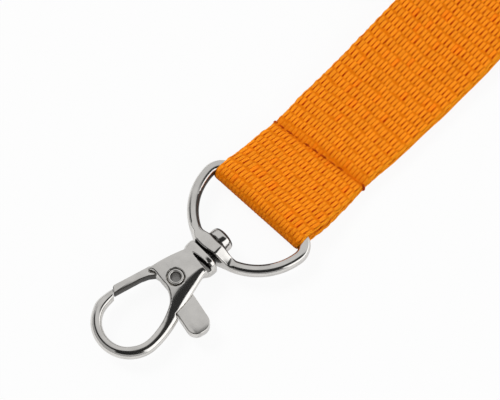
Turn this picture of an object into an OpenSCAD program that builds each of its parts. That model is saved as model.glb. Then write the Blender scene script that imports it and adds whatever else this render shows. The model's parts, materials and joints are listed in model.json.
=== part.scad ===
// Neck lanyard: a folded loop of woven webbing on a cast D ring with a swivel trigger hook.
// The part lies flat: X runs from the hook towards the folded neck loop, Y across the webbing,
// Z up. The origin is on the resting surface, under the middle of the ring seam.

/* [Webbing] */
// Width of the webbing
strap_w = 20; // [16:0.5:25]
// Thickness of one layer of webbing
strap_t = 1.1; // [0.9:0.05:1.3]
// Clear gap between two layers that lie on each other
layer_gap = 0.45; // [0.42:0.01:0.6]
// Distance from the ring seam to the middle of the ring's bar
seam_to_bar = 12.8; // [11:0.1:18]
// Slack between the webbing and the ring's bar, towards the hook
loop_slack = 0.6; // [0.55:0.05:1]
// Radial clearance of the webbing round the bar
loop_clear = 0.15; // [0.12:0.01:0.3]

/* [Folded neck loop] */
// Distance from the ring seam to the near folds
hank_from = 68; // [64:1:90]
// Length of each folded run
run_len = 94; // [70:1:120]
// Number of folded runs of the doubled webbing
runs = 4; // [2:1:6]
// Radius of the inner fold, at the middle of the webbing
fold_r = 1.05; // [1:0.05:2]
// Width of the tie band
tie_w = 12; // [8:1:20]
// Thickness of the tie band
tie_t = 0.6; // [0.4:0.1:1]
// Clearance of the tie band round the folded webbing
tie_clear = 0.3; // [0.2:0.05:0.5]

/* [Ring seam] */
// Length of one stitch
stitch_len = 1.45; // [1.2:0.05:2.5]
// Diameter of the sewing thread
thread_d = 0.4; // [0.3:0.05:0.6]
// Skew of the seam across the webbing
seam_skew = 5.5; // [0:0.5:8]
// Distance of the seam's ends from the webbing's edges
seam_edge = 0.5; // [0.3:0.1:2]

/* [D ring] */
// Width of the ring's wire, seen from above
wire_w = 1.8; // [1.6:0.1:2.2]
// Height of the ring's wire
wire_h = 2.2; // [1.9:0.1:2.6]
// Corner radius of the wire's section
wire_corner_r = 0.6; // [0.3:0.05:0.7]
// Clearance between the ring's legs and the webbing's edges
ring_side_clear = 0.3; // [0.25:0.05:0.6]
// Distance from the bar to the middle of the bow's arc
bow_back = 1.9; // [1.6:0.1:4]
// Turn of the ring and hook in the webbing's loop
ring_lean = 2.7; // [0:0.1:2.8]
// Width of the swivel boss
boss_w = 7.2; // [6.6:0.1:8]
// Length of the swivel boss along the swivel's axis
boss_len = 2.6; // [2.2:0.1:3.4]

/* [Swivel] */
// Diameter of the swivel rivet's stem
stem_d = 2.6; // [2.2:0.1:3]
// Diameter of the swivel rivet's button head
button_d = 4.3; // [3.8:0.1:5]
// Length of the button head
button_len = 1.6; // [1.2:0.1:2]
// Radial running clearance of the stem in the boss
swivel_clear = 0.06; // [0.03:0.01:0.1]
// End play of the ring's boss between the hook's collar and the button head
swivel_play = 0.3; // [0.2:0.05:0.5]
// Depth of the stem's seat in the hook
stem_seat = 3.2; // [2.4:0.1:3.4]

/* [Hook body] */
// Thickness of the hook's collar and the ring's boss
hook_t = 5.4; // [5:0.1:6]
// Thickness of the hook's body beside the pivot
body_t = 4.8; // [4.4:0.1:5.4]
// Thickness of the hook's round arm
arm_t = 2.6; // [2.4:0.1:3.6]
// Width of the collar
collar_w = 6.8; // [6.2:0.1:7.4]
// Length of the collar
collar_len = 1.4; // [1:0.1:2]
// Corner radius of the collar and the boss
collar_corner_r = 2.0; // [1:0.1:2.4]
// Length of the groove behind the collar
neck_len = 0.8; // [0.5:0.1:1.2]
// Depth of the groove behind the collar
neck_depth = 0.6; // [0.3:0.05:0.8]
// Distance from the groove to the pivot
pivot_from_neck = 4.6; // [4.5:0.1:5.4]
// Distance of the hook's middle line from the swivel's axis, towards the thumb tab
hook_off = 0.4; // [0:0.1:0.6]
// Half width of the body beside the groove
body_half_narrow = 2.7; // [2.4:0.1:3]
// Half width of the body at its open end
body_half_wide = 4.3; // [4:0.1:4.8]
// Distance from the pivot to the open end of the body
cheek_reach = 2.15; // [1.85:0.05:2.4]
// Distance from the pivot to the middle of the hook's round head
head_reach = 10.5; // [9.8:0.1:12]
// Radius of the hook's round head, outside
head_r = 6.65; // [6.3:0.05:7.2]
// Radius of the eye in the round head
eye_r = 4.65; // [4.4:0.05:5]
// Radius of the eye's narrow end
eye_near_r = 3.2; // [2.6:0.1:3.4]
// Slant of the joint between the hook's nose and the gate
nose_cut = 50; // [46:1:52]
// Distance from the middle of the round head to the nose joint, along the hook
nose_past = 1.6; // [1:0.1:1.8]

/* [Gate lever] */
// Thickness of the lever
lever_t = 1.9; // [1.6:0.1:2.2]
// Clearance of the lever in its slot, each side
lever_clear = 0.15; // [0.1:0.01:0.2]
// Radius of the lever's hub
hub_r = 1.8; // [1.7:0.05:1.9]
// Width of the gate bar
gate_w = 1.3; // [1.1:0.05:1.5]
// Clearance between the gate's tip and the nose
nose_gap = 0.2; // [0.15:0.01:0.3]
// Width of the thumb tab
tab_w = 4.0; // [3.4:0.1:4.4]
// Reach of the thumb tab from the pivot
tab_reach = 10.6; // [9:0.1:12]
// Corner radius of the thumb tab
tab_corner_r = 1.5; // [0.8:0.1:1.6]
// Lean of the thumb tab towards the hook's tip
tab_lean = 11; // [6:1:12]

/* [Pivot rivet and spring] */
// Diameter of the pivot rivet's tube
rivet_d = 2.3; // [2:0.1:2.6]
// Diameter of the hole through the pivot rivet
rivet_bore_d = 1.8; // [1.4:0.1:1.9]
// Diameter of the rivet's rolled ends
rivet_head_d = 3.1; // [2.8:0.1:3.6]
// Height of the rivet's rolled ends
rivet_head_h = 0.3; // [0.2:0.05:0.4]
// Radial running clearance of the lever on the rivet
pivot_clear = 0.05; // [0.03:0.01:0.1]
// Wire diameter of the gate spring
spring_wire_d = 0.28; // [0.2:0.02:0.3]
// Coil diameter of the gate spring, at the middle of its wire
spring_coil_d = 1.1; // [0.9:0.05:1.2]
// Turns of the gate spring
spring_turns = 2; // [1:0.5:2]

/* [Hidden] */
$fn = 64;

// Colours
webbing_colour = "darkorange";
thread_colour = "sienna";
nickel_colour = "silver";

// Small seats and overlaps
seat_clear = 0.02;
over = 1;

// Heights: the hook lies on its flat side, and the ring's bar is level with the swivel
bar_z = hook_t / 2;
pitch = strap_t + layer_gap;
tie_rise = tie_t + tie_clear;
// The band's inner corners clear the square edges of the webbing
tie_corner_r = 3 * tie_clear;
under_z = strap_t / 2;
bar_r = wire_w / 2;
loop_r = bar_r + loop_clear + strap_t / 2;

// Lengths of webbing in the three strap nodes
loop_end = 10;
level_len = 8;
run_end = hank_from - level_len;
rise_from = loop_end + level_len;
far_x = hank_from + run_len;
curve_step = 1.6;
arc_step = 15;

// Places along the swivel's axis, measured from the middle of the ring's bar
bow_r = strap_w / 2 + ring_side_clear + wire_w / 2;
corner_inner_r = 0.1;
corner_r = wire_w / 2 + corner_inner_r;
boss_x = -(bow_back + bow_r + wire_w / 2);
collar_x = boss_x - swivel_play;
neck_x = collar_x - collar_len;
body_x = neck_x - neck_len;
pivot_x = body_x - pivot_from_neck;
cheek_x = pivot_x - cheek_reach;
head_x = pivot_x - head_reach;
near_x = cheek_x - eye_near_r;
slot_half = lever_t / 2 + lever_clear;
slot_wall = 0.6;
slot_inner_x = collar_x - stem_seat - slot_wall;
slot_past_cheek = 3.1;
slot_outer_x = cheek_x - slot_past_cheek;
taper_past_pivot = 0.8;
taper_from_x = pivot_x - taper_past_pivot;
taper_before_head = 2.4;
taper_to_x = head_x + taper_before_head;
pivot = [pivot_x, -hook_off];
nose_dir = [cos(nose_cut), sin(nose_cut)];
nose_normal = [sin(nose_cut), -cos(nose_cut)];
nose = [head_x + nose_past, (head_r + eye_r) / 2 - hook_off];
tab_x = -0.9;
tab_root = -4.2;
web_half = 0.7 * hub_r;
gate_root_in = [cheek_x - 0.6, body_half_wide - hook_off - 0.6];
gate_heel_in = [cheek_x + 0.1, body_half_wide - hook_off - 1.3];
gate_root_out = [cheek_x + 0.4, body_half_wide - hook_off + 0.4];
tip_outer_share = 0.7;

// A curve that leaves and arrives level, from 0 to 1
function ease(u) = (1 - cos(180 * min(1, max(0, u)))) / 2;
function unit(v) = v / norm(v);

// Height of the middle of a layer along the webbing, before the fold
function flat_z(x, layer) =
    under_z + layer * pitch + tie_rise * ease((x - rise_from) / (run_end - rise_from));
function leg_z(x, layer) =
    let (bar_side = bar_z + (2 * layer - 1) * loop_r)
    flat_z(x, layer) + (bar_side - flat_z(x, layer)) * ease(-x / seam_to_bar);
function leg(from, to, layer, steps) =
    [for (i = [0 : steps]) let (x = from + (to - from) * i / steps) [x, leg_z(x, layer)]];
// A half turn about a centre, from below to above, bulging along +X or -X
function half_turn(x, z, r, side) =
    [for (a = [-90 : arc_step : 90]) [x + side * r * cos(a), z + r * sin(a)]];
function reversed(list) = [for (i = [len(list) - 1 : -1 : 0]) list[i]];

// Height of a layer in a folded run: the upper layer takes the tight folds at the far end
function run_z(k, layer) =
    let (tight = layer == 1 ? ceil(k / 2) : floor(k / 2))
    flat_z(run_end, layer) + 2 * (tight * fold_r + (k - tight) * (fold_r + pitch));
function fold_side(k) = k % 2 == 0 ? 1 : -1;
function fold_x(k) = k % 2 == 0 ? far_x : hank_from;
function folds(layer) =
    [for (k = [0 : runs - 2])
        let (r = (run_z(k + 1, layer) - run_z(k, layer)) / 2)
        each half_turn(fold_x(k), run_z(k, layer) + r, r, fold_side(k))];

loop_path = concat(
    leg(loop_end, -seam_to_bar, 1, ceil((loop_end + seam_to_bar) / curve_step)),
    reversed(half_turn(-seam_to_bar - loop_slack, bar_z, loop_r, -1)),
    leg(-seam_to_bar, loop_end, 0, ceil((loop_end + seam_to_bar) / curve_step)));
run_steps = ceil((run_end - loop_end) / (4 * curve_step));
neck_z = (run_z(runs - 1, 0) + run_z(runs - 1, 1)) / 2;
neck_turn = half_turn(fold_x(runs - 1), neck_z, pitch / 2, fold_side(runs - 1));
hank_path = concat(
    [[run_end, run_z(0, 1)]], folds(1),
    runs % 2 == 0 ? neck_turn : reversed(neck_turn),
    reversed(folds(0)), [[run_end, run_z(0, 0)]]);
hank_top = max(run_z(runs - 1, 0), run_z(runs - 1, 1)) + strap_t / 2;

// Least gap of the folded webbing to itself, measured on points along its middle
point_step = 1.5;
function spread(path) =
    [for (i = [0 : len(path) - 2])
        let (a = path[i], b = path[i + 1], n = max(1, ceil(norm(b - a) / point_step)))
        for (j = [0 : n - 1]) a + (b - a) * j / n];
function reach(path, i = 0, sum = 0, out = []) =
    i >= len(path) ? out
    : let (next = i == 0 ? 0 : sum + norm(path[i] - path[i - 1]))
      reach(path, i + 1, next, concat(out, [next]));
function least_gap(path) =
    let (p = spread(path), s = reach(p), apart = 0.95 * PI * pitch / 2)
    min([for (i = [0 : len(p) - 2]) for (j = [i + 1 : len(p) - 1])
        if (s[j] - s[i] > apart) norm(p[i] - p[j])]) - strap_t;
function path_length(path) = let (s = reach(path)) s[len(s) - 1];

echo(least_gap_of_ring_loop = least_gap(loop_path));
echo(least_gap_of_folded_webbing = least_gap(hank_path));
echo(webbing_length = path_length(loop_path) + path_length(hank_path)
    + 2 * path_length(leg(loop_end, run_end, 0, run_steps)));

// One layer of webbing along a path in X and Z, as wide as the strap in Y
function corner_offset(path, i) =
    let (before = i == 0 ? path[1] - path[0] : path[i] - path[i - 1],
         after = i == len(path) - 1 ? before : path[i + 1] - path[i],
         a = unit(before), b = unit(after), m = (a + b) / (1 + a * b))
    [-m[1], m[0]] * strap_t / 2;
module layer_of_webbing(path) {
    left = [for (i = [0 : len(path) - 1]) path[i] + corner_offset(path, i)];
    right = [for (i = [0 : len(path) - 1]) path[i] - corner_offset(path, i)];
    rotate([90, 0, 0])
        linear_extrude(strap_w, center = true)
            polygon(concat(left, reversed(right)));
}

module rounded_rect(w, h, r) {
    square([w - 2 * r, h], center = true);
    square([w, h - 2 * r], center = true);
    for (x = [-1, 1], y = [-1, 1])
        translate([x * (w / 2 - r), y * (h / 2 - r)])
            circle(r);
}

// A bar along X with a section given in Y and Z
module bar_along_x(from, to) {
    translate([from, 0, 0])
        rotate([90, 0, 90])
            linear_extrude(to - from)
                children();
}

// Places a metal piece: its origin is the middle of the ring's bar, the hook points along -X
module on_ring() {
    translate([-seam_to_bar, 0, bar_z])
        rotate([0, 0, -ring_lean])
            children();
}

module strap_loop() {
    color(webbing_colour)
        layer_of_webbing(loop_path);
}

module strap_run() {
    color(webbing_colour)
        for (layer = [0, 1])
            layer_of_webbing(leg(loop_end, run_end, layer, run_steps));
}

module strap_hank() {
    color(webbing_colour)
        layer_of_webbing(hank_path);
}

// Lock stitches through both layers: a thread on top, one below and a leg at each needle hole
module ring_seam() {
    seam_w = strap_w - 2 * seam_edge;
    stitches = floor(seam_w / stitch_len);
    step = seam_w / stitches;
    top_z = 2 * strap_t + layer_gap;
    sunk = 0.3 * thread_d;
    thread_w = 1.2 * thread_d;
    color(thread_colour)
        rotate([0, 0, seam_skew])
            for (i = [0 : stitches]) {
                y = -seam_w / 2 + i * step;
                translate([0, y, sunk])
                    cylinder(h = top_z - sunk, d = thread_d);
                if (i < stitches)
                    for (z = [sunk, top_z - sunk])
                        translate([-thread_w / 2, y, z])
                            cube([thread_w, step, thread_d]);
            }
}

module hank_tie() {
    inner_w = strap_w + 2 * tie_clear;
    inner_h = hank_top - tie_rise + 2 * tie_clear;
    color("dimgray")
        translate([0, 0, tie_t + inner_h / 2])
            difference() {
                bar_along_x(hank_from + (run_len - tie_w) / 2, hank_from + (run_len + tie_w) / 2)
                    rounded_rect(inner_w + 2 * tie_t, inner_h + 2 * tie_t, tie_corner_r + tie_t);
                bar_along_x(hank_from, far_x)
                    rounded_rect(inner_w, inner_h, tie_corner_r);
            }
}

module wire_section() {
    rounded_rect(wire_w, wire_h, wire_corner_r);
}

module d_ring() {
    bar_half = bow_r - corner_r;
    color(nickel_colour)
        on_ring()
            difference() {
                union() {
                    translate([-bow_back, 0, 0])
                        rotate([0, 0, 90])
                            rotate_extrude(angle = 180)
                                translate([bow_r, 0])
                                    wire_section();
                    for (side = [0, 1])
                        mirror([0, side, 0]) {
                            translate([0, bow_r, 0])
                                bar_along_x(-bow_back, -corner_r)
                                    wire_section();
                            translate([-corner_r, bar_half, 0])
                                rotate_extrude(angle = 90)
                                    translate([corner_r, 0])
                                        wire_section();
                        }
                    rotate([90, 0, 0])
                        cylinder(h = 2 * bar_half, r = bar_r, center = true);
                    bar_along_x(boss_x, boss_x + boss_len)
                        rounded_rect(boss_w, hook_t, collar_corner_r);
                }
                translate([boss_x - over, 0, 0])
                    rotate([0, 90, 0])
                        cylinder(h = boss_len + 2 * over, r = stem_d / 2 + swivel_clear);
            }
}

module swivel_rivet() {
    button_x = boss_x + boss_len + seat_clear;
    button_edge = 0.4;
    color(nickel_colour)
        on_ring()
            rotate([0, 90, 0]) {
                translate([0, 0, collar_x - stem_seat])
                    cylinder(h = button_x - collar_x + stem_seat + button_len / 2, d = stem_d);
                translate([0, 0, button_x])
                    rotate_extrude() {
                        square([button_d / 2, button_len - button_edge]);
                        square([button_d / 2 - button_edge, button_len]);
                        translate([button_d / 2 - button_edge, button_len - button_edge])
                            circle(button_edge);
                    }
            }
}

// Where a line from a point touches a circle
function touch(p, c, r, side) =
    let (v = p - c, a = atan2(v[1], v[0]) + side * acos(r / norm(v)))
    c + r * [cos(a), sin(a)];

module hook_outline() {
    head = [head_x, -hook_off];
    wide = [cheek_x, body_half_wide - hook_off];
    low_wide = [cheek_x, -body_half_wide - hook_off];
    polygon([
        [body_x + over / 2, body_half_narrow], wide, touch(wide, head, head_r, 1), head,
        touch(low_wide, head, head_r, -1), low_wide, [body_x + over / 2, -body_half_narrow]]);
    translate(head)
        circle(head_r);
}

// The egg-shaped eye: two rounds and the straight sides that touch both
module eye_outline() {
    lean = (eye_r - eye_near_r) / (near_x - head_x);
    rise = sqrt(1 - lean * lean);
    translate([0, -hook_off]) {
        translate([head_x, 0])
            circle(eye_r);
        translate([near_x, 0])
            circle(eye_near_r);
        polygon([
            [head_x + eye_r * lean, eye_r * rise],
            [near_x + eye_near_r * lean, eye_near_r * rise],
            [near_x + eye_near_r * lean, -eye_near_r * rise],
            [head_x + eye_r * lean, -eye_r * rise]]);
    }
}

// The side of the hook that the gate closes, from the nose to the body's open end
module gate_space() {
    far = 2 * head_r;
    polygon([
        nose - nose_dir * (head_r - eye_r + over), nose + nose_dir * far,
        [cheek_x, far], [cheek_x, -hook_off], [near_x, -hook_off]]);
}

module hook_body() {
    side = body_t / 2;
    arm = arm_t / 2;
    tip_x = head_x - head_r - over;
    color(nickel_colour)
        on_ring()
            difference() {
                union() {
                    intersection() {
                        translate([0, 0, -side])
                            linear_extrude(body_t)
                                difference() {
                                    hook_outline();
                                    eye_outline();
                                    gate_space();
                                }
                        rotate([90, 0, 0])
                            linear_extrude(4 * head_r, center = true)
                                polygon([
                                    [body_x + over / 2, side], [taper_from_x, side],
                                    [taper_to_x, arm], [tip_x, arm], [tip_x, -arm],
                                    [taper_to_x, -arm], [taper_from_x, -side],
                                    [body_x + over / 2, -side]]);
                    }
                    bar_along_x(neck_x, collar_x)
                        rounded_rect(collar_w, hook_t, collar_corner_r);
                    bar_along_x(body_x, neck_x + over / 2)
                        rounded_rect(collar_w - 2 * neck_depth, hook_t - 2 * neck_depth,
                                     collar_corner_r - neck_depth);
                }
                bar_along_x(slot_outer_x, slot_inner_x)
                    square([4 * head_r, 2 * slot_half], center = true);
                translate(pivot)
                    cylinder(h = 2 * hook_t, d = rivet_d + 2 * seat_clear, center = true);
                translate([collar_x - stem_seat - seat_clear, 0, 0])
                    rotate([0, 90, 0])
                        cylinder(h = stem_seat + over, d = stem_d + 2 * seat_clear);
            }
}

// A point of the thumb tab, whose length runs along -Y before it leans
function on_tab(p) =
    pivot + [p[0] * cos(tab_lean) + p[1] * sin(tab_lean), p[1] * cos(tab_lean) - p[0] * sin(tab_lean)];
function tab_corner(side, from) =
    [for (a = [from : arc_step : from + 90])
        on_tab([tab_x + side * (tab_w / 2 - tab_corner_r), tab_corner_r - tab_reach]
            + tab_corner_r * [cos(a), sin(a)])];

// The gate bar, the web down to the hub, and the thumb tab on the other side of the pivot
module lever_outline() {
    tip = nose + nose_normal * nose_gap;
    polygon(concat(
        [tip + nose_dir * gate_w * tip_outer_share,
         tip - nose_dir * gate_w * (1 - tip_outer_share),
         gate_root_in,
         gate_heel_in,
         pivot + [-web_half, 0],
         on_tab([tab_x - tab_w / 2, tab_root])],
        tab_corner(-1, 180),
        tab_corner(1, 270),
        [on_tab([tab_x + tab_w / 2, tab_root]),
         pivot + [web_half, 0],
         gate_root_out]));
    translate(pivot)
        circle(hub_r);
}

module gate_lever() {
    color(nickel_colour)
        on_ring()
            difference() {
                translate([0, 0, -lever_t / 2])
                    linear_extrude(lever_t)
                        lever_outline();
                translate(pivot)
                    cylinder(h = 2 * lever_t, r = rivet_d / 2 + pivot_clear, center = true);
            }
}

// A tubular rivet with its ends rolled over onto the body's two faces
module pivot_rivet() {
    lip_r = rivet_head_h;
    face_z = body_t / 2 + seat_clear;
    color(nickel_colour)
        on_ring()
            translate(pivot)
                difference() {
                    union() {
                        cylinder(h = 2 * (face_z + rivet_head_h / 2), d = rivet_d, center = true);
                        for (side = [0, 1])
                            mirror([0, 0, side])
                                translate([0, 0, face_z])
                                    rotate_extrude() {
                                        square([rivet_head_d / 2 - lip_r, rivet_head_h]);
                                        translate([rivet_head_d / 2 - lip_r, 0])
                                            intersection() {
                                                circle(lip_r);
                                                square(lip_r);
                                            }
                                    }
                    }
                    cylinder(h = 2 * hook_t, d = rivet_bore_d, center = true);
                }
}

// A short coil between the slot's inner end and the lever's heel
module gate_spring() {
    sides = 6;
    rings = 8 * spring_turns;
    heel_gap = 0.1;
    heel_x = pivot_x + hub_r + heel_gap;
    below_pivot = 1.35;
    from = heel_x + spring_wire_d / 2;
    to = slot_inner_x - spring_wire_d / 2 - seat_clear;
    function at(i) = let (a = 360 * i * spring_turns / rings)
        [from + (to - from) * i / rings, spring_coil_d / 2 * cos(a), spring_coil_d / 2 * sin(a)];
    points = [for (i = [0 : rings]) let (a = 360 * i * spring_turns / rings)
        for (k = [0 : sides - 1]) let (b = 360 * k / sides)
            at(i) + spring_wire_d / 2 * [sin(b), cos(b) * cos(a), cos(b) * sin(a)]];
    faces = concat(
        [[for (k = [0 : sides - 1]) k]],
        [for (i = [0 : rings - 1]) for (k = [0 : sides - 1]) let (n = (k + 1) % sides)
            each [[i * sides + k, (i + 1) * sides + k, (i + 1) * sides + n],
                  [i * sides + k, (i + 1) * sides + n, i * sides + n]]],
        [[for (k = [sides - 1 : -1 : 0]) rings * sides + k]]);
    color("gray")
        on_ring()
            translate([0, -hook_off - below_pivot, 0])
                polyhedron(points, faces);
}

strap_loop();
strap_run();
strap_hank();
ring_seam();
hank_tie();
d_ring();
swivel_rivet();
hook_body();
gate_lever();
pivot_rivet();
gate_spring();
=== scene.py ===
"""Neck lanyard with a swivel trigger hook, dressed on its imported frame."""

import json
import math

import bmesh
import bpy
from mathutils import Matrix, Vector, noise


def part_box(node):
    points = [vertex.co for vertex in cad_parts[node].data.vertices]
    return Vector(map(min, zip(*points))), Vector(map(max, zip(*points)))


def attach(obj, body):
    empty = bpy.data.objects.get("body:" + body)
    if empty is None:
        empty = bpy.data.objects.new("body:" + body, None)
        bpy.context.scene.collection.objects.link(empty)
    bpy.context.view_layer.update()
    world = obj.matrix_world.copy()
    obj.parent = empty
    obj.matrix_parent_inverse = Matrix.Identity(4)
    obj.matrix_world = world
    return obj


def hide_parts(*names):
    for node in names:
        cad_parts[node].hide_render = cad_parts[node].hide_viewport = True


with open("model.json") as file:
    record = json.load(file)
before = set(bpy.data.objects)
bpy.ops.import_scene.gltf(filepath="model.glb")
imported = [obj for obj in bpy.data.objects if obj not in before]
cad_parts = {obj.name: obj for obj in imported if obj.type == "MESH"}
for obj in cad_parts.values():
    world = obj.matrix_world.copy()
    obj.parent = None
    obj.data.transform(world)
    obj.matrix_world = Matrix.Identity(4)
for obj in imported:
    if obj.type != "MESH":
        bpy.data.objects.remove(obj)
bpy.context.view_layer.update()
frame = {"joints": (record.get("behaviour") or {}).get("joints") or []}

bl_info = {
    "name": "Neck Lanyard",
    "version": (1, 0, 0),
    "blender": (4, 5, 0),
    "location": "View3D > Sidebar > Lanyard",
    "description": "Woven neck lanyard with a D ring and a swivel trigger hook",
    "category": "Object",
}

MM = 0.001
JOINTS = {joint["name"]: joint for joint in frame["joints"]}
BAR = Vector(JOINTS["ring_swing"]["pos_m"])
SWIVEL = Vector(JOINTS["hook_swivel"]["axis"])
ON_RING = Matrix.Translation(BAR) @ Matrix.Rotation(math.atan2(SWIVEL.y, SWIVEL.x), 4, "Z")
TIE_LOW, TIE_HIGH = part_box("hank_tie")
AXIS_X = Vector((1, 0, 0))


# Settings that a maker would change

class LanyardWebbing(bpy.types.PropertyGroup):
    """Sizes and colours of the woven strip"""

    width: bpy.props.FloatProperty(
        name="Width", description="Width of the webbing", default=0.020, unit="LENGTH")
    thickness: bpy.props.FloatProperty(
        name="Thickness", description="Thickness of one layer", default=0.0011, unit="LENGTH")
    yarn_pitch: bpy.props.FloatProperty(
        name="Yarn pitch", description="Distance between two warp yarns of a row",
        default=0.00078, unit="LENGTH")
    row_pitch: bpy.props.FloatProperty(
        name="Row pitch", description="Length of one row of yarn floats",
        default=0.0018, unit="LENGTH")
    relief: bpy.props.FloatProperty(
        name="Relief", description="Height of a yarn float over the gaps beside it",
        default=0.00013, unit="LENGTH")
    edge_lift: bpy.props.FloatProperty(
        name="Edge lift", description="How far one edge rises where the doubled strip twists",
        default=0.0021, unit="LENGTH")
    yarn: bpy.props.FloatVectorProperty(
        name="Yarn", description="Colour of the lit yarn", subtype="COLOR", size=4,
        default=(1.0, 0.300, 0.012, 1.0))
    # Also the colour of the painted shade beside the seam and on the fold round the bar
    deep: bpy.props.FloatVectorProperty(
        name="Deep", description="Colour where a yarn dives between two rows", subtype="COLOR", size=4,
        default=(0.74, 0.155, 0.0, 1.0))
    gap: bpy.props.FloatVectorProperty(
        name="Gap", description="Colour between the yarns", subtype="COLOR", size=4,
        default=(0.40, 0.016, 0.0, 1.0))
    # Paler yellow colour of the two edges, laid also as painted light on the strip's side edges
    selvedge_and_painted_light: bpy.props.FloatVectorProperty(
        name="Selvedge", description="Colour of the two edges", subtype="COLOR", size=4,
        default=(1.0, 0.39, 0.010, 1.0))
    # Also the colour of the painted shade in the seam's furrow
    thread: bpy.props.FloatVectorProperty(
        name="Thread", description="Colour of the sewing thread", subtype="COLOR", size=4,
        default=(0.46, 0.055, 0.0, 1.0))


class LanyardMetal(bpy.types.PropertyGroup):
    """Finish and sizes of the metal pieces"""

    nickel: bpy.props.FloatVectorProperty(
        name="Nickel", description="Colour of the plating", subtype="COLOR", size=4,
        default=(0.79, 0.77, 0.74, 1.0))
    # Painted shade: the dark colour laid on the metal where shade and dark reflections fall
    shaded: bpy.props.FloatVectorProperty(
        name="Shaded plating", description="Colour where the plating is thin and dull", subtype="COLOR", size=4,
        default=(0.085, 0.08, 0.075, 1.0))
    spring: bpy.props.FloatVectorProperty(
        name="Spring", description="Colour of the spring steel", subtype="COLOR", size=4,
        default=(0.55, 0.55, 0.56, 1.0))
    roughness: bpy.props.FloatProperty(
        name="Roughness", description="Roughness of the plating", default=0.13,
        min=0.0, max=1.0, subtype="FACTOR")
    edge: bpy.props.FloatProperty(
        name="Edge", description="How far the hook's cast edges are softened",
        default=0.00014, unit="LENGTH")
    wire: bpy.props.FloatProperty(
        name="Ring wire", description="Width of the ring's wire", default=0.0020, unit="LENGTH")
    bow_radius: bpy.props.FloatProperty(
        name="Bow radius", description="Radius of the ring's bow", default=0.0110, unit="LENGTH")
    ring_corner: bpy.props.FloatProperty(
        name="Ring corner", description="Radius where the bow turns into the bar",
        default=0.0030, unit="LENGTH")


class LanyardStage(bpy.types.PropertyGroup):
    """Table, camera and light"""

    table: bpy.props.FloatVectorProperty(
        name="Table", description="Colour of the table", subtype="COLOR", size=4,
        default=(0.78, 0.78, 0.78, 1.0))
    key: bpy.props.FloatProperty(
        name="Key lamp", description="Strength of the lamp on the gate's side", default=1.58)
    fill: bpy.props.FloatProperty(
        name="Fill lamp", description="Strength of the lamp on the thumb tab's side", default=0.75)
    elevation: bpy.props.FloatProperty(
        name="Elevation", description="Height of the camera above the table",
        default=math.radians(67.0), subtype="ANGLE")
    heading: bpy.props.FloatProperty(
        name="Heading", description="Direction the camera looks along the table",
        default=math.radians(44.0), subtype="ANGLE")
    distance: bpy.props.FloatProperty(
        name="Distance", description="Distance of the camera", default=0.5, unit="LENGTH")
    lens: bpy.props.FloatProperty(
        name="Lens", description="Focal length in millimetres", default=212.4, unit="CAMERA")
    aim: bpy.props.FloatVectorProperty(
        name="Aim", description="Point in the middle of the picture", subtype="XYZ_LENGTH",
        default=(-0.01455, 0.00207, 0.0027))


# Curves and outlines

def ease(share):
    """A half cosine wave from 0 to 1, flat beyond both ends."""
    share = min(1.0, max(0.0, share))
    return (1 - math.cos(math.pi * share)) / 2


def smooth_step(low, high, value):
    """A smooth change from 0 at low to 1 at high, which may be the smaller number."""
    share = min(1.0, max(0.0, (value - low) / (high - low)))
    return share * share * (3 - 2 * share)


def bell(distance, width):
    """A smooth hump, 1 in its middle."""
    return math.exp(-(distance / width) ** 2)


def metres(points):
    """Points in metres, from points in millimetres."""
    return [tuple(value * MM for value in point) for point in points]


def circle_of(radius, count):
    """Points at equal steps round a circle."""
    return [(radius * math.cos(2 * math.pi * i / count), radius * math.sin(2 * math.pi * i / count))
            for i in range(count)]


def oval(width, height, power, count):
    """Points of a rounded section, round at power 2 and squarer above it."""
    return [(math.copysign(abs(c) ** (2 / power), c) * width / 2,
             math.copysign(abs(s) ** (2 / power), s) * height / 2) for c, s in circle_of(1.0, count)]


def wire_ring(spot, other, radius, count, flat=1.0):
    """Points round a spot on a wire, in the plane of X and another direction."""
    return [spot + radius * (flat * p * AXIS_X + q * other) for p, q in circle_of(1.0, count)]


def soft_outline(corners, steps):
    """A closed outline whose corners (x, y, radius) are rounded, each by less than half of its sides."""
    most, nearly_straight = 0.48, 1.55
    points = []
    for i, (x, y, radius) in enumerate(corners):
        here = Vector((x, y))
        back = Vector(corners[i - 1][:2]) - here
        on = Vector(corners[(i + 1) % len(corners)][:2]) - here
        half = back.angle(on) / 2
        if radius == 0 or half > nearly_straight:
            points.append((x, y))
            continue
        run = min(radius / math.tan(half), most * back.length, most * on.length)
        radius = run * math.tan(half)
        back.normalize()
        on.normalize()
        middle = here + (back + on).normalized() * (radius / math.sin(half))
        first = (here + back * run - middle).normalized()
        last = (here + on * run - middle).normalized()
        points += [tuple(middle + first.slerp(last, k / steps) * radius) for k in range(steps + 1)]
    return points


def smooth_loop(knots, count):
    """Points at equal steps on a smooth closed curve through knots of two or more numbers."""
    size, fine = len(knots), 24
    dense = []
    for i in range(size):
        a, b, c, d = (knots[(i + k) % size] for k in (-1, 0, 1, 2))
        for k in range(fine):
            t = k / fine
            dense.append([0.5 * (2 * q + (r - p) * t + (2 * p - 5 * q + 4 * r - s) * t * t
                                 + (3 * q - p - 3 * r + s) * t ** 3)
                          for p, q, r, s in zip(a, b, c, d)])
    dense.append(dense[0])
    run = [0.0]
    for p, q in zip(dense, dense[1:]):
        run.append(run[-1] + math.dist(p[:2], q[:2]))
    points, at = [], 0
    for i in range(count):
        want = run[-1] * i / count
        while run[at + 1] < want:
            at += 1
        share = (want - run[at]) / max(run[at + 1] - run[at], 1e-12)
        points.append([p + (q - p) * share for p, q in zip(dense[at], dense[at + 1])])
    return points


# Modelling helpers

def choose(*pieces):
    """Selects the pieces and nothing else, and makes the first one active."""
    bpy.ops.object.select_all(action="DESELECT")
    for piece in pieces:
        piece.select_set(True)
    bpy.context.view_layer.objects.active = pieces[0]


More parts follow.
